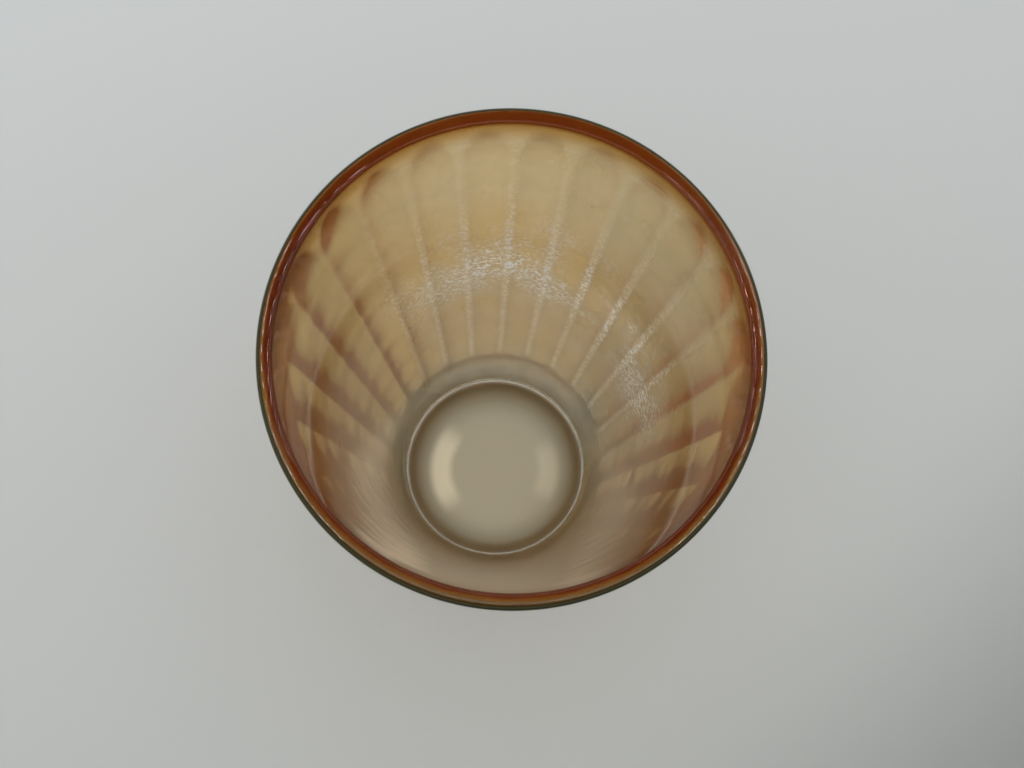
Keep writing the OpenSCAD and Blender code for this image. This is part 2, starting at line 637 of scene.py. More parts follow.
    def _milk(self, nodes: Nodes, wall: WallSpot) -> tuple[Socket, bpy.types.Node]:
        """Makes the film's milk, which scatters light both ways, more in the grooves of the far side, darker
        on the sides as painted shade and orange on the near side as painted light.

        Args:
            nodes: the material's nodes.
            wall: where on the wall the point lies.

        Returns:
            Its share and its shader.
        """
        # Milk colour by side: darker on the sides as painted shade, orange on the near side as painted light
        colour = nodes.blend(wall.far, self.milk_painted_shade, nodes.blend(wall.groove, self.milk, self.frost))
        colour = nodes.blend(wall.near, colour, self.milk_painted_light)
        front = nodes.add("ShaderNodeBsdfDiffuse", {"Color": colour})
        behind = nodes.add("ShaderNodeBsdfTranslucent", {"Color": colour})
        frosted = nodes.times(
            nodes.times(wall.groove, self.frost_share),
            nodes.times(nodes.between(wall.far, self.frost_near, 1.0),
                        nodes.between(wall.speck, self.frost_bare, 1.0)),
            nodes.level(wall.height, self.frost_fall, 1.0, self.frost_top))
        aside = nodes.between(wall.near, self.haze_share, self.blush_share)
        share = nodes.math("MULTIPLY_ADD", wall.far, self.milk_share - self.haze_share, aside)
        share = nodes.times(nodes.ramp(wall.cloud, *self.milk_cloud, *self.milk_swing), share)
        lowered = nodes.math("MULTIPLY_ADD", wall.far, -self.milk_climb * MM, wall.height)
        below_lip = nodes.level(lowered, self.milk_fall, 1.0, 0.0)
        share = nodes.math("MULTIPLY", nodes.math("ADD", share, frosted), below_lip, clamp=True)
        return share, nodes.cover(0.5, front, behind)

    def _painted_silver_sheen(self, nodes: Nodes, wall: WallSpot) -> tuple[Socket, bpy.types.Node]:
        """Makes a painted silvery reflection on the far side, in fine specks in the film's patches and along
        the grooves.

        Args:
            nodes: the material's nodes.
            wall: where on the wall the point lies.

        Returns:
            Its share and its shader.
        """
        aside = nodes.math("ABSOLUTE", wall.x)
        level = nodes.math("MULTIPLY_ADD", aside, self.silver_tilt, wall.height)
        band = nodes.times(nodes.level(level, self.silver_rise),
                           nodes.level(level, self.silver_fall, 1.0, 0.0))
        patch = nodes.times(nodes.ramp(wall.cloud, *self.silver_cloud), self.wear_and_sheen.value)
        patch = nodes.math("MAXIMUM", patch, nodes.times(wall.groove, self.silver_groove))
        # Painted silvery reflection only on the far side, in a band, more to the right
        share = nodes.times(patch, band, nodes.times(wall.far, wall.speck))
        across = nodes.level(wall.x, self.silver_across, self.silver_left, self.silver_right)
        share = nodes.math("MULTIPLY", share, across, clamp=True)
        inner = nodes.add("ShaderNodeBsdfDiffuse", {"Color": (*self.painted_silver_sheen, 1.0)})
        outer = nodes.add("ShaderNodeBsdfTranslucent", {"Color": (*self.painted_silver_sheen, 1.0)})
        return share, nodes.cover(self.silver_through, inner, outer)

    def make(self) -> bpy.types.Material:
        """Builds the material: stained glass, a little milky, with a painted silvery reflection in patches on
        the far side.

        Returns:
            The material.
        """
        material, nodes, output = new_material(self.name)
        wall = self._read(nodes)
        whole = self._glass(nodes, wall, self._stain(nodes, wall))
        for share, layer in (self._milk(nodes, wall), self._painted_silver_sheen(nodes, wall)):
            whole = nodes.cover(share, whole, layer)
        nodes.feed(output.inputs["Surface"], whole.outputs[0])
        return material


@dataclass(frozen=True)
class LustreFilm:
    """The metallic film itself, seen from outside: mostly clear, with a silvery green and gold gloss."""

    name: str = "fired_lustre_film"
    green: Colour = (0.082, 0.078, 0.036)
    gold: Colour = (0.30, 0.22, 0.11)
    green_scale: float = 45.0
    green_cloud: Span = (0.38, 0.62)
    film_nm: float = 380.0
    film_ior: float = 1.9
    roughness: float = 0.15
    wall_tint: Colour = (1.0, 0.99, 0.97)
    lip_tint: Colour = (0.70, 0.52, 0.26)
    lip_rise: Span = (143.5, 146.4)
    veil: float = 0.03
    edge_veil: float = 0.12
    edge_blend: float = 0.35
    lip_veil: float = 0.78
    grain_scale: float = 3200.0
    grain_cloud: Span = (0.3, 0.7)
    grain_swing: Span = (0.75, 1.1)
    foot_rise: Span = (5.0, 24.0)
    foot_veil: float = 0.25

    def make(self) -> bpy.types.Material:
        """Builds the material: a thin metal veil with clear glass between its grains.

        Returns:
            The material.
        """
        material, nodes, output = new_material(self.name)
        place = nodes.add("ShaderNodeTexCoord").outputs["Object"]
        height = nodes.add("ShaderNodeSeparateXYZ", {"Vector": place}).outputs["Z"]
        cloud = nodes.noise(place, self.green_scale, detail=4.0, roughness=0.6)
        grain = nodes.noise(place, self.grain_scale, detail=2.0, roughness=0.8)
        lip = nodes.level(height, self.lip_rise)
        greened = nodes.math("MAXIMUM", nodes.ramp(cloud, *self.green_cloud), lip)
        metal = nodes.add("ShaderNodeBsdfPrincipled", {
            "Base Color": nodes.blend(greened, self.gold, self.green), "Metallic": 1.0,
            "Roughness": self.roughness, "Thin Film Thickness": self.film_nm, "Thin Film IOR": self.film_ior,
        })
        tint = nodes.blend(lip, self.wall_tint, self.lip_tint)
        clear = nodes.add("ShaderNodeBsdfTransparent", {"Color": tint})
        facing = nodes.add("ShaderNodeLayerWeight", {"Blend": self.edge_blend}).outputs["Facing"]
        share = nodes.between(facing, self.veil, self.edge_veil)
        share = nodes.math("MULTIPLY_ADD", lip, self.lip_veil, share)
        share = nodes.times(share, nodes.ramp(grain, *self.grain_cloud, *self.grain_swing))
        low = nodes.level(height, self.foot_rise, self.foot_veil, 1.0)
        share = nodes.math("MULTIPLY", share, low, clamp=True)
        nodes.feed(output.inputs["Surface"], nodes.cover(share, clear, metal).outputs[0])
        return material


@dataclass(frozen=True)
class PaleTable:
    """Pale floor with painted light: a wash brighter at the far left, painted shade towards the near right,
    and painted light under the glass.

    A rise or a fall is a span of distances in millimetres. The sides of the pools are shares of x in the
    distance from the axis.
    """

    name: str = "pale_table"
    roughness: float = 0.6
    gloss: float = 0.15
    # The two ends of a painted wash of light across the floor
    bright: Colour = (0.49, 0.505, 0.50)
    dim: Colour = (0.355, 0.365, 0.35)
    wash_lean: float = -0.35
    wash: Span = (-140.0, 160.0)
    # Painted shade that dims the near right corner
    dusk_fall: Span = (85.0, 240.0)
    corner: float = 0.55
    # Painted glow of light on the floor beyond the glass
    glow: Colour = (0.70, 0.69, 0.66)
    glow_aside: float = 38.0
    glow_across: float = -6.0
    glow_squeeze: float = 1.35
    glow_fall: Span = (34.0, 52.0)
    # Painted light on the floor under the base, and painted brown shade towards the edge of the foot
    under: Colour = (0.56, 0.56, 0.50)
    painted_foot_shade: Colour = (0.30, 0.26, 0.175)
    edge_rise: Span = (12.0, 21.0)
    under_fall: Span = (22.0, 26.0)
    # Painted light pools on a ring under the base, stronger on the left than on the right
    painted_light_pool: Colour = (0.95, 0.93, 0.83)
    pool_radius: float = 13.0
    pool_width: float = 3.6
    pool_core: float = 0.3
    pool_left: float = 0.9
    left_side: Span = (-0.95, -0.62)
    pool_right: float = 0.35
    right_side: Span = (0.80, 0.98)

    def _open(self, nodes: Nodes, place: Socket, split: bpy.types.Node) -> Socket:
        """Colours the open floor with painted light: a painted wash, painted shade in the near right corner
        and a painted glow beyond the glass.

        Args:
            nodes: the material's nodes.
            place: position on the floor.
            split: the node that gives x, y and z.

        Returns:
            The socket with the colour.
        """
        x, y = split.outputs["X"], split.outputs["Y"]
        across = nodes.math("MULTIPLY_ADD", x, self.wash_lean, y)
        wash = nodes.ramp(across, self.wash[0] * MM, self.wash[1] * MM, smooth=False)
        # Painted shade that dims the near right corner
        painted_corner_shade = nodes.level(nodes.math("SUBTRACT", x, y), self.dusk_fall, 1.0, self.corner)
        colour = nodes.blend(wash, self.dim, self.bright)
        shade = nodes.add("ShaderNodeVectorMath", {0: colour, "Scale": painted_corner_shade}, operation="SCALE").outputs[0]
        # Painted glow of light on the floor beyond the glass
        squeeze = (self.glow_squeeze, 1.0, 1.0)
        squeezed = nodes.add("ShaderNodeMapping", {"Vector": place, "Scale": squeeze}).outputs[0]
        middle = (self.glow_across * MM, self.glow_aside * MM, 0.0)
        offset = nodes.add("ShaderNodeVectorMath", {0: squeezed, 1: middle}, operation="DISTANCE")
        return nodes.blend(nodes.level(offset.outputs["Value"], self.glow_fall, 1.0, 0.0), shade, self.glow)

    def _beneath(self, nodes: Nodes, away: Socket, x: Socket) -> Socket:
        """Colours the floor under the base with painted light: painted brown shade at its edge, and painted
        light pools on each side.

        Args:
            nodes: the material's nodes.
            away: distance from the axis.
            x: position along +X.

        Returns:
            The socket with the colour.
        """
        # Painted light under the base, turning to painted brown shade towards the edge of the foot
        under = nodes.blend(nodes.level(away, self.edge_rise), self.under, self.painted_foot_shade)
        # Painted light pools on a ring, on the left and, fainter, on the right
        off = nodes.math("ABSOLUTE", nodes.math("SUBTRACT", away, self.pool_radius * MM))
        ring = nodes.level(off, (self.pool_width * self.pool_core, self.pool_width), 1.0, 0.0)
        lean = nodes.math("DIVIDE", x, nodes.math("MAXIMUM", away, MM))
        sides = nodes.math("ADD", nodes.ramp(lean, *self.left_side, self.pool_left, 0.0),
                           nodes.ramp(lean, *self.right_side, 0.0, self.pool_right))
        return nodes.blend(nodes.times(ring, sides), under, self.painted_light_pool)

    def make(self) -> bpy.types.Material:
        """Builds the material: a painted wash of light, and painted light and shade where the glass gathers
        light at its foot.

        Returns:
            The material.
        """
        material, nodes, output = new_material(self.name)
        place = nodes.add("ShaderNodeTexCoord").outputs["Object"]
        split = nodes.add("ShaderNodeSeparateXYZ", {"Vector": place})
        away = nodes.add("ShaderNodeVectorMath", {0: place}, operation="LENGTH").outputs["Value"]
        shade = nodes.blend(nodes.level(away, self.under_fall, 1.0, 0.0), self._open(nodes, place, split),
                            self._beneath(nodes, away, split.outputs["X"]))
        paint = nodes.add("ShaderNodeBsdfPrincipled", {
            "Base Color": shade, "Roughness": self.roughness, "Specular IOR Level": self.gloss})
        nodes.feed(output.inputs["Surface"], paint.outputs[0])
        return material


@dataclass(frozen=True)
class LampGlow:
    """White glow of a small lamp."""

    name: str = "lamp_glow"
    colour: Colour = (1.0, 0.98, 0.95)
    strength: float = 26.0

    def make(self) -> bpy.types.Material:
        """Builds the glow.

        Returns:
            The material.
        """
        material, nodes, output = new_material(self.name)
        glow = nodes.add("ShaderNodeEmission", {"Color": (*self.colour, 1.0), "Strength": self.strength})
        nodes.feed(output.inputs["Surface"], glow.outputs[0])
        return material


# The rule of the reeded wall


@dataclass
class ReededSweep:
    """Geometry node tree that sweeps an outline round the axis and raises the reeds on its outer wall."""

    sizes: TumblerSizes
    columns_per_pitch: int = 20
    crowding: float = 0.5
    groove_softness: float = 0.12
    waviness: float = 0.012
    wave_scale: float = 110.0
    wave_stretch: float = 1.8
    wave_fall: Span = (129.0, 142.5)
    seed: float = 7.0
    sharp_angle: float = 32.0
    mark_depth: float = 0.12
    mark_rise: Span = (24.0, 30.0)
    mark_fall: Span = (138.5, 141.0)
    merge: float = 0.001
    tree: bpy.types.NodeTree = field(init=False)
    names: dict[str, str] = field(init=False, default_factory=dict)

    def __post_init__(self) -> None:
        """Builds the tree once."""
        self.tree = bpy.data.node_groups.new("reeded_sweep", "GeometryNodeTree")
        self._sockets()
        self._grow()

    def _sockets(self) -> None:
        """Adds the tree's named inputs and its output."""
        face = self.tree.interface
        face.new_socket("Outline", in_out="INPUT", socket_type="NodeSocketGeometry")
        for name in ("Reed Count", "Columns per Pitch"):
            face.new_socket(name, in_out="INPUT", socket_type="NodeSocketInt")
        for name in ("Crowding", "Foot Radius", "Wall Slope", "Reed Low", "Reed High", "Round Low",
                     "Round High", "Reed Rise", "Shoulder", "Groove Softness", "Waviness", "Seed",
                     "Sharp Angle"):
            face.new_socket(name, in_out="INPUT", socket_type="NodeSocketFloat")
        for name in ("Clear Finish", "Lustre Finish"):
            face.new_socket(name, in_out="INPUT", socket_type="NodeSocketMaterial")
        face.new_socket("Mesh", in_out="OUTPUT", socket_type="NodeSocketGeometry")
        self.names = {s.name: s.identifier for s in face.items_tree if s.in_out == "INPUT"}

    def _values(self) -> dict[str, float | int]:
        """Gives the value of each numeric input.

        Returns:
            The values by the input's name.
        """
        s = self.sizes
        return {
            "Reed Count": s.reed_count,
            "Columns per Pitch": self.columns_per_pitch,
            "Crowding": self.crowding,
            "Foot Radius": s.foot_diameter / 2 * MM,
            "Wall Slope": s.wall_slope,
            "Reed Low": s.reed_low * MM,
            "Reed High": s.reed_high * MM,
            "Round Low": s.reed_round(s.reed_low) * MM,
            "Round High": s.reed_round(s.reed_high) * MM,
            "Reed Rise": s.reed_rise / math.cos(s.wall_angle) * MM,
            "Shoulder": s.reed_shoulder * MM,
            "Groove Softness": self.groove_softness * MM,
            "Waviness": self.waviness * MM,
            "Seed": self.seed,
            "Sharp Angle": math.radians(self.sharp_angle),
        }

    @staticmethod
    def _turns(n: Nodes, given: dict[str, Socket], column: Socket) -> tuple[Socket, Socket]:
        """Places a column round the axis, crowded towards the grooves.

        Args:
            n: the tree's nodes.
            given: the tree's inputs by name.
            column: number of the column.

        Returns:
            Its angle from +X, and its angle off the crest of its reed.
        """
        turn = n.math("DIVIDE", column, given["Columns per Pitch"])
        sway = n.math("DIVIDE", n.math("SINE", n.math("MULTIPLY", turn, 2 * math.pi)), 2 * math.pi)
        turn = n.math("SUBTRACT", turn, n.math("MULTIPLY", given["Crowding"], sway))
        pitch = n.math("DIVIDE", 2 * math.pi, given["Reed Count"])
        off_crest = n.math("SUBTRACT", n.math("FRACT", n.math("ADD", turn, NUDGE)), 0.5)
        return n.math("MULTIPLY", turn, pitch), n.math("MULTIPLY", off_crest, pitch)

    @staticmethod
    def _reed(n: Nodes, given: dict[str, Socket], height: Socket, wall: Socket, off_angle: Socket) -> Socket:
        """Rule of one reed: a round section whose crest bends down into the smooth band.

        Args:
            n: the tree's nodes.
            given: the tree's inputs by name.
            height: height above the table.
            wall: radius of the plain wall there.
            off_angle: angle off the crest.

        Returns:
            The reed's distance from the axis.
        """
        past = n.math("MAXIMUM", n.math("DIVIDE", n.math("SUBTRACT", height, given["Reed High"]),
                                        given["Shoulder"]), 0.0)
        left = n.math("SUBTRACT", 1.0, n.math("MULTIPLY", past, past))
        crest = n.math("MULTIPLY_ADD", given["Reed Rise"], left, wall)
        along = n.math("DIVIDE", n.math("SUBTRACT", height, given["Reed Low"]),
                       n.math("SUBTRACT", given["Reed High"], given["Reed Low"]))
        section = n.math("MULTIPLY_ADD", n.math("SUBTRACT", given["Round High"], given["Round Low"]), along,
                         given["Round Low"])
        middle = n.math("SUBTRACT", crest, section)
        aside = n.math("MULTIPLY", middle, n.math("SINE", off_angle))
        deep = n.math("SUBTRACT", n.math("MULTIPLY", section, section), n.math("MULTIPLY", aside, aside))
        return n.math("MULTIPLY_ADD", middle, n.math("COSINE", off_angle),
                      n.math("SQRT", n.math("MAXIMUM", deep, 0.0)))

    def _wave(self, n: Nodes, given: dict[str, Socket], height: Socket, wall: Socket,
              angle: Socket) -> Socket:
        """Slow waviness of a pressed wall, the same for the glass and its skin, and none near the lip.

        Args:
            n: the tree's nodes.
            given: the tree's inputs by name.
            height: height above the table.
            wall: radius of the plain wall there.
            angle: angle from +X.

        Returns:
            A share of the waviness, outwards if above 0.
        """
        ring = n.add("ShaderNodeCombineXYZ", {
            "X": n.math("MULTIPLY", n.math("COSINE", angle), wall),
            "Y": n.math("MULTIPLY", n.math("SINE", angle), wall),
            "Z": n.math("MULTIPLY", height, self.wave_stretch)}).outputs[0]
        numbers = {"Vector": ring, "W": given["Seed"], "Scale": self.wave_scale, "Detail": 1.0}
        wave = n.add("ShaderNodeTexNoise", numbers, noise_dimensions="4D").outputs[0]
        return n.times(n.math("SUBTRACT", wave, 0.5), n.level(height, self.wave_fall, 1.0, 0.0))

    def _mark(self, n: Nodes, height: Socket, wall: Socket, reed: Socket) -> Socket:
        """Tells how deep in a groove a point lies, for the finish.

        Args:
            n: the tree's nodes.
            height: height above the table.
            wall: radius of the plain wall there.
            reed: the reed's distance from the axis.

        Returns:
            A socket that is 1 in a groove and 0 on a reed, the heel and the smooth band.
        """
        low_line = n.math("SUBTRACT", wall, n.math("SUBTRACT", reed, self.mark_depth * MM))
        return n.times(n.level(low_line, (0.0, self.mark_depth)), n.level(height, self.mark_fall, 1.0, 0.0),
                       n.level(height, self.mark_rise))

    def _finish(self, n: Nodes, given: dict[str, Socket], shape: Socket) -> Socket:
        """Closes the seam, sets smooth and sharp shading, and gives each face its finish.

        Args:
            n: the tree's nodes.
            given: the tree's inputs by name.
            shape: the swept mesh.

        Returns:
            The finished mesh.
        """
        steps: tuple[tuple[str, dict[str, Any], dict[str, Any]], ...] = (
            ("MergeByDistance", {"Distance": self.merge * MM}, {}),
            ("SetShadeSmooth", {"Shade Smooth": True}, {}),
            ("SetShadeSmooth", {"Selection": n.math(
                "GREATER_THAN", n.add("GeometryNodeInputMeshEdgeAngle").outputs["Unsigned Angle"],
                given["Sharp Angle"]), "Shade Smooth": False}, {"domain": "EDGE"}),
            ("RealizeInstances", {}, {}),
            ("SetMaterial", {"Material": given["Clear Finish"]}, {}),
            ("SetMaterial", {"Selection": n.math("GREATER_THAN", self._named(n, "lustred"), LUSTRED),
                             "Material": given["Lustre Finish"]}, {}),
        )
        for kind, inputs, settings in steps:
            shape = n.add("GeometryNode" + kind, {"Geometry": shape, **inputs}, **settings).outputs[0]
        return shape

    @staticmethod
    def _named(n: Nodes, name: str) -> Socket:
        """Reads a number that is stored on the mesh under a name."""
        node = n.add("GeometryNodeInputNamedAttribute", {"Name": name}, data_type="FLOAT")
        return next(s for s in node.outputs if s.enabled)

    def _grow(self) -> None:
        """Builds the tree: sweep, reeds, waviness, then finishes."""
        n = Nodes(self.tree)
        given = {s.name: s for s in n.add("NodeGroupInput").outputs}
        rows = n.add("GeometryNodeAttributeDomainSize", {"Geometry": given["Outline"]}).outputs["Point Count"]
        columns = n.math("MULTIPLY", given["Reed Count"], given["Columns per Pitch"])
        grid = n.add("GeometryNodeMeshGrid", {"Vertices X": n.math("ADD", columns, 1.0), "Vertices Y": rows})
        index = n.add("GeometryNodeInputIndex").outputs[0]
        column = n.math("FLOOR", n.math("DIVIDE", n.math("ADD", index, 0.5), rows))
        row = n.math("SUBTRACT", index, n.math("MULTIPLY", column, rows))

        def sample(kind: str, value: Socket) -> Socket:
            """Reads a value of the outline at this vertex's row.

            Args:
                kind: type of the value.
                value: the value on the outline.

            Returns:
                The socket with the value at the row.
            """
            node = n.add("GeometryNodeSampleIndex", data_type=kind, domain="POINT")
            n.feed(node.inputs["Geometry"], given["Outline"])
            n.feed(next(s for s in node.inputs if s.name == "Value" and s.enabled), value)
            n.feed(node.inputs["Index"], row)
            return next(s for s in node.outputs if s.enabled)

        spot = sample("FLOAT_VECTOR", n.add("GeometryNodeInputPosition").outputs[0])
        part = n.add("ShaderNodeSeparateXYZ", {0: spot})
        radius, height = part.outputs["X"], part.outputs["Z"]
        skin, reeded, lustred = (sample("FLOAT", self._named(n, m)) for m in ("skin", "reeded", "lustred"))
        angle, off_angle = self._turns(n, given, column)
        wall = n.math("MULTIPLY_ADD", height, given["Wall Slope"], given["Foot Radius"])
        reed = self._reed(n, given, height, wall, off_angle)
        raised = n.math("SMOOTH_MAX", radius, n.math("ADD", reed, skin), given["Groove Softness"])
        raised = n.math("MULTIPLY_ADD", self._wave(n, given, height, wall, angle), given["Waviness"], raised)
        final = n.math("MULTIPLY_ADD", reeded, n.math("SUBTRACT", raised, radius), radius)
        place = n.add("ShaderNodeCombineXYZ", {
            "X": n.math("MULTIPLY", final, n.math("COSINE", angle)),
            "Y": n.math("MULTIPLY", final, n.math("SINE", angle)), "Z": height}).outputs[0]
        in_groove = n.times(self._mark(n, height, wall, reed), reeded)
        shape = grid.outputs["Mesh"]
        for name, value in (("groove", in_groove), ("lustred", lustred)):
            shape = n.add("GeometryNodeStoreNamedAttribute",
                          {"Geometry": shape, "Name": name, "Value": value},
                          data_type="FLOAT", domain="POINT").outputs[0]
        shape = n.add("GeometryNodeSetPosition", {"Geometry": shape, "Position": place}).outputs[0]
        n.add("NodeGroupOutput", {"Mesh": self._finish(n, given, shape)})

    def sweep(self, name: str, rows: Sequence[OutlineRow], clear: bpy.types.Material,
              lustre: bpy.types.Material) -> bpy.types.Object:
        """Makes a piece from an outline.

        Args:
            name: name of the piece.
            rows: its outline in order.
            clear: finish of the rows that carry no lustre.
            lustre: finish of the rows that do.

        Returns:
            The piece as a plain mesh object at the origin.
        """
        mesh = bpy.data.meshes.new(name + "_outline")
        mesh.from_pydata([(r.radius * MM, 0.0, r.height * MM) for r in rows], [], [])
        for mark, values in (("skin", [r.skin * MM for r in rows]),
                             ("reeded", [float(r.reeded) for r in rows]),
                             ("lustred", [float(r.lustred) for r in rows])):
            mesh.attributes.new(mark, "FLOAT", "POINT").data.foreach_set("value", values)
        outline = bpy.data.objects.new(name + "_outline", mesh)
        bpy.context.scene.collection.objects.link(outline)
        modifier = outline.modifiers.new("sweep", "NODES")
        modifier.node_group = self.tree
        for label, value in self._values().items():
            modifier[self.names[label]] = value
        modifier[self.names["Clear Finish"]] = clear
        modifier[self.names["Lustre Finish"]] = lustre
        graph = bpy.context.evaluated_depsgraph_get()
        made = bpy.data.meshes.new_from_object(outline.evaluated_get(graph), depsgraph=graph)
        made.name = name
        piece = bpy.data.objects.new(name, made)
        bpy.context.scene.collection.objects.link(piece)
        bpy.data.objects.remove(outline)
        self._turn_outwards(made)
        return piece

    @staticmethod
    def _turn_outwards(mesh: bpy.types.Mesh) -> None:
        """Turns every face of a closed mesh outwards.

        Args:
            mesh: the mesh, changed in place.
        """
        work = bmesh.new()
        work.from_mesh(mesh)
        bmesh.ops.recalc_face_normals(work, faces=work.faces)
        if work.calc_volume(signed=True) < 0:
            bmesh.ops.reverse_faces(work, faces=work.faces)
        work.to_mesh(mesh)
        work.free()


# The pieces


@dataclass
class GlassBody:
    """Pressed glass: bowl, round lip, reeded wall, plain heel, thick base and domed hollow under it."""

    sizes: TumblerSizes
    clear: ClearGlass = ClearGlass()
    stained: StainedGlass = StainedGlass()
    wall: WallOutline = WallOutline(rows=104)
    lip_rows: int = 22
    floor_rows: int = 6
    corner_rows: int = 10
    bowl_rows: int = 10
    edge_rows: int = 8
    dome_rows: int = 10

    def _inside(self) -> list[OutlineRow]:
        """Outline of the bowl, from the middle of its floor to the lip.

        Returns:
            The rows in order.
        """
        s = self.sizes
        centre = s.floor_radius - s.floor_corner * math.tan(math.pi / 4 - s.inner_angle / 2)
        corner = arc_points((centre, s.floor_thickness + s.floor_corner), s.floor_corner, -math.pi / 2,
                            -s.inner_angle, self.corner_rows)
        lip = (s.lip_centre - s.lip_radius * math.cos(s.inner_angle),
               s.lip_level + s.lip_radius * math.sin(s.inner_angle))
        first = corner[-1]
        points = [(centre * i / self.floor_rows, s.floor_thickness) for i in range(self.floor_rows)] + corner
        points += [tuple(a + (b - a) * i / self.bowl_rows for a, b in zip(first, lip))
                   for i in range(1, self.bowl_rows)]
        return [OutlineRow(*p) for p in points]

    def _lip(self) -> list[OutlineRow]:
        """Outline of the round lip, from the bowl's side over to the outer wall.

        Returns:
            The rows in order.
        """
        s = self.sizes
        points = arc_points((s.lip_centre, s.lip_level), s.lip_radius, math.pi - s.inner_angle, -s.wall_angle,
                            self.lip_rows)
        edge = s.lip_level + s.lip_radius * math.sin(math.radians(s.lustre_climb))
        return [OutlineRow(r, z, lustred=r > s.lip_centre and z < edge) for r, z in points]

    def _foot(self) -> list[OutlineRow]:
        """Outline of the foot: its rounded edge, resting ring and domed hollow, to the axis.

        Returns:
            The rows in order.
        """
        s = self.sizes
        edge = s.wall_line(s.heel_stand, s.foot_edge) - s.foot_edge
        hollow = edge - s.foot_ring
        dome = (hollow * hollow + s.foot_hollow * s.foot_hollow) / (2 * s.foot_hollow)
        half = math.asin(hollow / dome)
        points = arc_points((edge, s.foot_edge), s.foot_edge, 0.0, -math.pi / 2, self.edge_rows)
        points.append((edge - s.foot_ring * 0.5, 0.0))
        for i in range(self.dome_rows):
            turn = half * (1 - i / self.dome_rows)
            points.append((dome * math.sin(turn), s.foot_hollow - dome + dome * math.cos(turn)))
        points.append((0.0, s.foot_hollow))
        return [OutlineRow(*p) for p in points]

    def build(self, sweep: ReededSweep) -> bpy.types.Object:
        """Makes the body and puts it in place of its solid.

        Args:
            sweep: the rule that turns an outline into a mesh.

        Returns:
            The piece.
        """
        s = self.sizes
        wall = self.wall.trace(s, s.lip_level - s.lip_radius * math.sin(s.wall_angle))
        rows = self._inside() + self._lip() + wall + self._foot()
        piece = sweep.sweep("pressed_glass_body", rows, self.clear.make(), self.stained.make())
        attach(piece, BODY)
        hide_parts("glass_body")
        return piece


@dataclass
class LustreCoat:
    """Thin skin of fired lustre on the outside, from above the foot up and over the outer half of the lip."""

    sizes: TumblerSizes
    film: LustreFilm = LustreFilm()
    gap: float = 0.03
    wall: WallOutline = WallOutline(rows=62)
    lip_rows: int = 9

    def _side(self, skin: float) -> list[OutlineRow]:
        """Outline of one side of the skin, from its upper edge down to its lower one.

        Args:
            skin: how far this side stands off the glass.

        Returns:
            The rows in order.
        """
        s = self.sizes
        points = arc_points((s.lip_centre, s.lip_level), s.lip_radius + skin, math.radians(s.lustre_climb),
                            -s.wall_angle, self.lip_rows)
        lip = [OutlineRow(r, z, skin, lustred=True) for r, z in points]
        return lip + self.wall.trace(s, lip[-1].height, skin)

    def build(self, sweep: ReededSweep) -> bpy.types.Object:
        """Makes the skin and puts it in place of its solid.

        Args:
            sweep: the rule that turns an outline into a mesh.

        Returns:
            The piece.
        """
        outer, inner = self._side(self.sizes.lustre_thickness), self._side(self.gap)
        film = self.film.make()
        piece = sweep.sweep("fired_lustre_coat", outer + inner[::-1] + outer[:1], film, film)
        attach(piece, BODY)
        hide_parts("lustre_coat")
        return piece


# The stage


@dataclass
class PhotoCamera:
    """Camera nearly above the glass, at the photograph's viewing angle.

    Places are in rim radii from the middle of the lip, seen from the camera: right, down and away from it.
    """

    sizes: TumblerSizes
    focal_pixels: float = 1538.0
    sensor: float = 36.0
    axis: Colour = (-0.0298, 0.1749, 0.9841)
    lip_place: Colour = (0.003, -0.123, 6.01)

    def build(self) -> bpy.types.Object:
        """Makes the camera and gives it to the scene.

        Returns:
            The camera object.
        """
        s = self.sizes
        axis = Vector(self.axis).normalized()
        right = (Vector((1, 0, 0)) - axis * axis.x).normalized()
        to_glass = Matrix((right, right.cross(axis), -axis))
        spin = Matrix.Rotation(math.radians(VIEW_TURN), 3, "Z")
        off = to_glass @ (Vector(self.lip_place) * s.rim_diameter / 2)
        place = spin @ (Vector((0, 0, s.lip_level)) - off)
        looks = [spin @ to_glass @ Vector(v) for v in ((1, 0, 0), (0, -1, 0), (0, 0, -1))]
        data = bpy.data.cameras.new("camera")
        data.sensor_width = self.sensor
        data.lens = self.focal_pixels * self.sensor / IMAGE_WIDTH
        data.clip_start = MM
        camera = bpy.data.objects.new("camera", data)
        camera.matrix_world = Matrix.Translation(place * MM) @ Matrix(looks).transposed().to_4x4()
        bpy.context.scene.collection.objects.link(camera)
        bpy.context.scene.camera = camera
        return camera


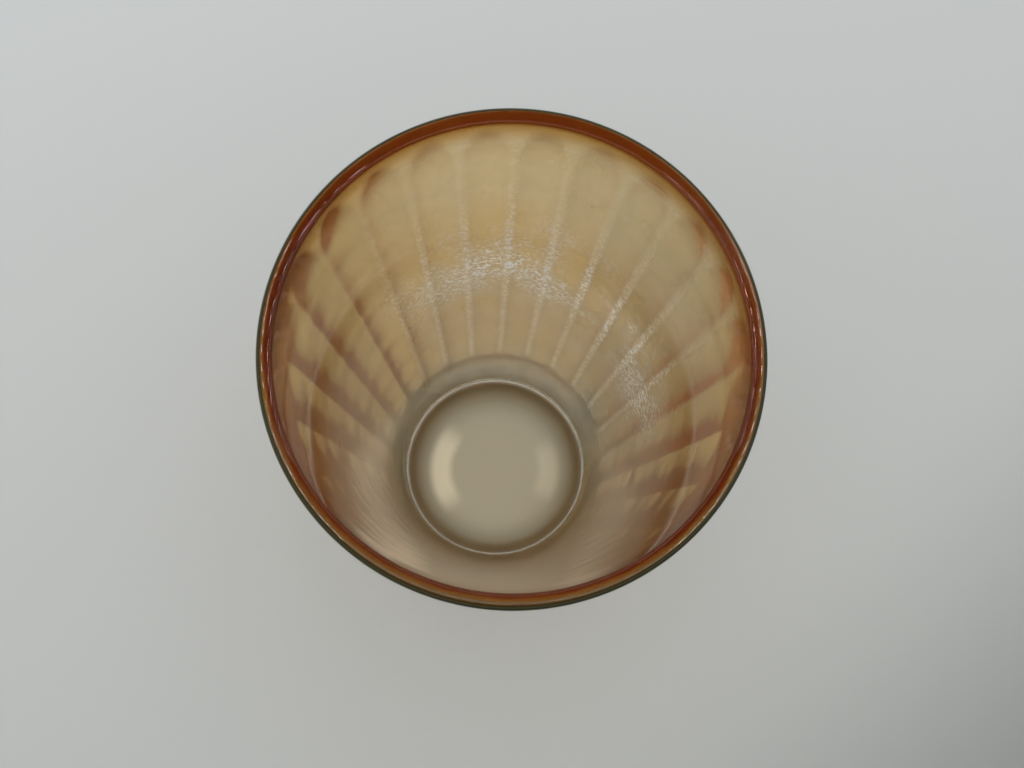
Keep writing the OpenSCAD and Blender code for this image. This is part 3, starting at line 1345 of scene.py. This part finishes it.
@dataclass
class Studio:
    """Pale floor, soft light, a dark ceiling in the reflections, and two long rows of small lamps."""

    floor_half: float = 700.0
    floor_gap: float = 0.04
    sky: Colour = (0.98, 0.99, 1.0)
    side_light: float = 0.90
    top_light: float = 3.0
    top_rise: Span = (0.84, 1.0)
    gloss_low: float = 0.75
    gloss_high: float = 0.06
    gloss_rise: Span = (0.15, 0.5)
    lamp_count: int = 22
    lamp_pitch: float = 18.0
    lamp_wide: float = 44.0
    lamp_long: float = 7.0
    lamp_side: float = 230.0
    lamp_height: float = 400.0
    glass_bounces: int = 24
    gloss_bounces: int = 12
    gloss_blur: float = 0.3
    table: PaleTable = PaleTable()
    glow: LampGlow = LampGlow()

    def _floor(self) -> bpy.types.Object:
        """Makes the floor.

        Returns:
            The floor.
        """
        half, level = self.floor_half * MM, -self.floor_gap * MM
        corners = [(x * half, y * half, level) for x, y in ((-1, -1), (1, -1), (1, 1), (-1, 1))]
        return self._mesh("floor", corners, [(0, 1, 2, 3)], self.table.make())

    def _lamps(self) -> bpy.types.Object:
        """Makes both rows of lamps as one mesh of small plates that face down.

        Returns:
            The lamps.
        """
        spots, faces = [], []
        spin = Matrix.Rotation(math.radians(VIEW_TURN), 3, "Z")
        for side in (-1, 1):
            for i in range(self.lamp_count):
                x, y = side * self.lamp_side, (i - (self.lamp_count - 1) / 2) * self.lamp_pitch
                faces.append(tuple(len(spots) + k for k in range(4)))
                for dx, dy in ((-1, -1), (-1, 1), (1, 1), (1, -1)):
                    corner = (x + dx * self.lamp_wide / 2, y + dy * self.lamp_long / 2, self.lamp_height)
                    spots.append(spin @ Vector(corner) * MM)
        lamps = self._mesh("lamp_rows", spots, faces, self.glow.make())
        lamps.visible_diffuse = False
        lamps.visible_transmission = False
        return lamps

    @staticmethod
    def _mesh(name: str, spots: Iterable[Any], faces: Iterable[tuple[int, ...]],
              material: bpy.types.Material) -> bpy.types.Object:
        """Makes a stage object.

        Args:
            name: its name.
            spots: corners in metres.
            faces: corner numbers of each face.
            material: its finish.

        Returns:
            The object.
        """
        mesh = bpy.data.meshes.new(name)
        mesh.from_pydata(list(spots), [], list(faces))
        mesh.materials.append(material)
        made = bpy.data.objects.new(name, mesh)
        bpy.context.scene.collection.objects.link(made)
        return made

    def build(self) -> None:
        """Makes the floor, the lamps and the soft light, and lets light pass many layers of glass."""
        self._floor()
        self._lamps()
        scene = bpy.context.scene
        scene.world = self._sky()
        scene.view_settings.view_transform = "Standard"
        cycles = scene.cycles
        cycles.max_bounces = cycles.transmission_bounces = cycles.transparent_max_bounces = self.glass_bounces
        cycles.glossy_bounces = self.gloss_bounces
        cycles.blur_glossy = self.gloss_blur

    def _sky(self) -> bpy.types.World:
        """Makes the soft light, darker where the camera sees it mirrored in the glass.

        Returns:
            The world.
        """
        world = bpy.data.worlds.new("soft_sky")
        world.use_nodes = True
        nodes = Nodes(world.node_tree)
        backdrop = world.node_tree.nodes["Background"]
        backdrop.inputs["Color"].default_value = (*self.sky, 1.0)
        way = nodes.add("ShaderNodeTexCoord").outputs["Generated"]
        rise = nodes.add("ShaderNodeSeparateXYZ", {"Vector": way}).outputs["Z"]
        ray = nodes.add("ShaderNodeLightPath").outputs
        mirrored = nodes.math("MULTIPLY", nodes.math("GREATER_THAN", ray["Glossy Depth"], 0.5),
                              nodes.math("LESS_THAN", ray["Diffuse Depth"], 0.5))
        soft = nodes.ramp(rise, *self.top_rise, self.side_light, self.top_light)
        dark = nodes.ramp(rise, *self.gloss_rise, self.gloss_low, self.gloss_high)
        nodes.feed(backdrop.inputs["Strength"], nodes.math(
            "ADD", nodes.times(mirrored, dark),
            nodes.times(nodes.math("SUBTRACT", 1.0, mirrored), soft)))
        return world


def main() -> None:
    """Builds the camera, the stage and both pieces in order, and reports each."""
    logging.basicConfig(level=logging.INFO, format="%(name)s: %(message)s")
    sizes = TumblerSizes()
    PhotoCamera(sizes).build()
    Studio().build()
    body = GlassBody(sizes).build(ReededSweep(sizes))
    log.info("%s: %d faces", body.name, len(body.data.polygons))
    coat = LustreCoat(sizes).build(ReededSweep(sizes, columns_per_pitch=14))
    log.info("%s: %d faces", coat.name, len(coat.data.polygons))


if __name__ == "__main__":
    main()
